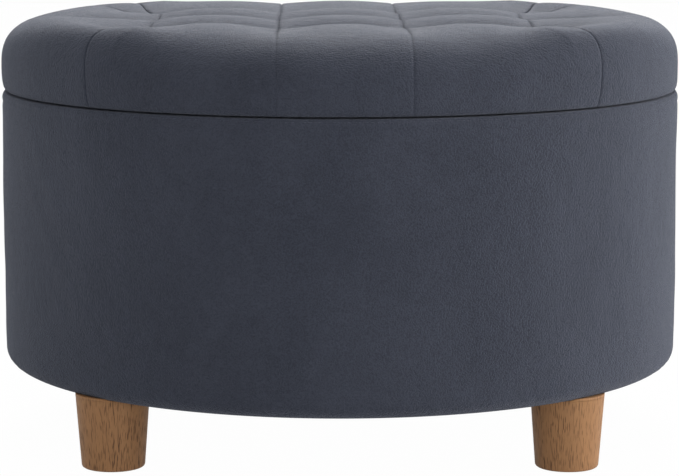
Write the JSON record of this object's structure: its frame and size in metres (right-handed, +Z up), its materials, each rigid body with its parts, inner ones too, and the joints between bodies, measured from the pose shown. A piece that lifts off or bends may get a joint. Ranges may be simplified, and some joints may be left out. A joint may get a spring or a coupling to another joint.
{
  "type": "storage ottoman",
  "caption": "Round upholstered storage ottoman: a padded drum on tapered wooden legs, with a deep round well under a hinged, square-tufted velvet lid held by slotted stays.",
  "frame": {"origin": "on the floor, at the drum's centre axis", "axes": "+Z up; the front faces -Y and the lid hinges at the back, on +Y; +X is to the right seen from the front"},
  "size_m": [0.711, 0.711, 0.4395],
  "materials": {
    "plywood": "matte",
    "softwood": "matte",
    "fibreboard": "matte",
    "foam": "matte",
    "velvet": "matte",
    "lining_cloth": "matte",
    "dust_cloth": "matte",
    "leg_wood": "satin",
    "felt": "matte",
    "zinc_steel": "satin",
    "rubber": "matte",
    "hinge_steel": "satin",
    "stay_steel": "satin"
  },
  "bodies": {
    "drum": {"bottom_board": "plywood", "rim_ring": "plywood", "post_1": "softwood", "post_2": "softwood", "post_3": "softwood", "post_4": "softwood", "post_5": "softwood", "post_6": "softwood", "back_rail": "softwood", "wall_skin": "fibreboard", "wall_foam": "foam", "side_cover": "velvet", "well_lining": "lining_cloth", "well_floor": "lining_cloth", "dust_cloth": "dust_cloth", "leg_1": "leg_wood", "leg_2": "leg_wood", "leg_3": "leg_wood", "leg_4": "leg_wood", "glide_1": "felt", "glide_2": "felt", "glide_3": "felt", "glide_4": "felt", "hanger_bolts": "zinc_steel", "tee_nuts": "zinc_steel", "rim_bumpers": "rubber", "hinge_leaf_body_left": "hinge_steel", "hinge_leaf_body_right": "hinge_steel", "hinge_pin_left": "hinge_steel", "hinge_pin_right": "hinge_steel", "hinge_screws_body": "zinc_steel", "stay_bracket_left": "stay_steel", "stay_bracket_right": "stay_steel", "stay_pin_left": "stay_steel", "stay_pin_right": "stay_steel", "stay_screws_body": "zinc_steel"},
    "lid": {"lid_board": "plywood", "lid_foam": "foam", "lid_cover": "velvet", "lid_cloth": "lining_cloth", "hinge_leaf_lid_left": "hinge_steel", "hinge_leaf_lid_right": "hinge_steel", "hinge_screws_lid": "zinc_steel", "lid_tab_left": "stay_steel", "lid_tab_right": "stay_steel", "lid_pin_left": "stay_steel", "lid_pin_right": "stay_steel", "stay_screws_lid": "zinc_steel"},
    "stay_arm_left": {"stay_arm_left": "stay_steel"},
    "stay_arm_right": {"stay_arm_right": "stay_steel"}
  },
  "joints": [
    {"name": "lid_hinge", "type": "hinge", "parent": "drum", "child": "lid", "pos_m": [0, 0.352, 0.3595], "axis": [-1, 0, 0], "range_deg": [0, 100]},
    {"name": "stay_pivot_left", "type": "hinge", "parent": "lid", "child": "stay_arm_left", "pos_m": [-0.0996, 0.23744, 0.34948], "axis": [-1, 0, 0], "range_deg": [-50, 0]},
    {"name": "stay_pivot_right", "type": "hinge", "parent": "lid", "child": "stay_arm_right", "pos_m": [0.0996, 0.23744, 0.34948], "axis": [-1, 0, 0], "range_deg": [-50, 0]}
  ],
  "couplings": [
    {"joint": "stay_pivot_left", "follows": "lid_hinge", "ratio": -0.5},
    {"joint": "stay_pivot_right", "follows": "lid_hinge", "ratio": -0.5}
  ]
}
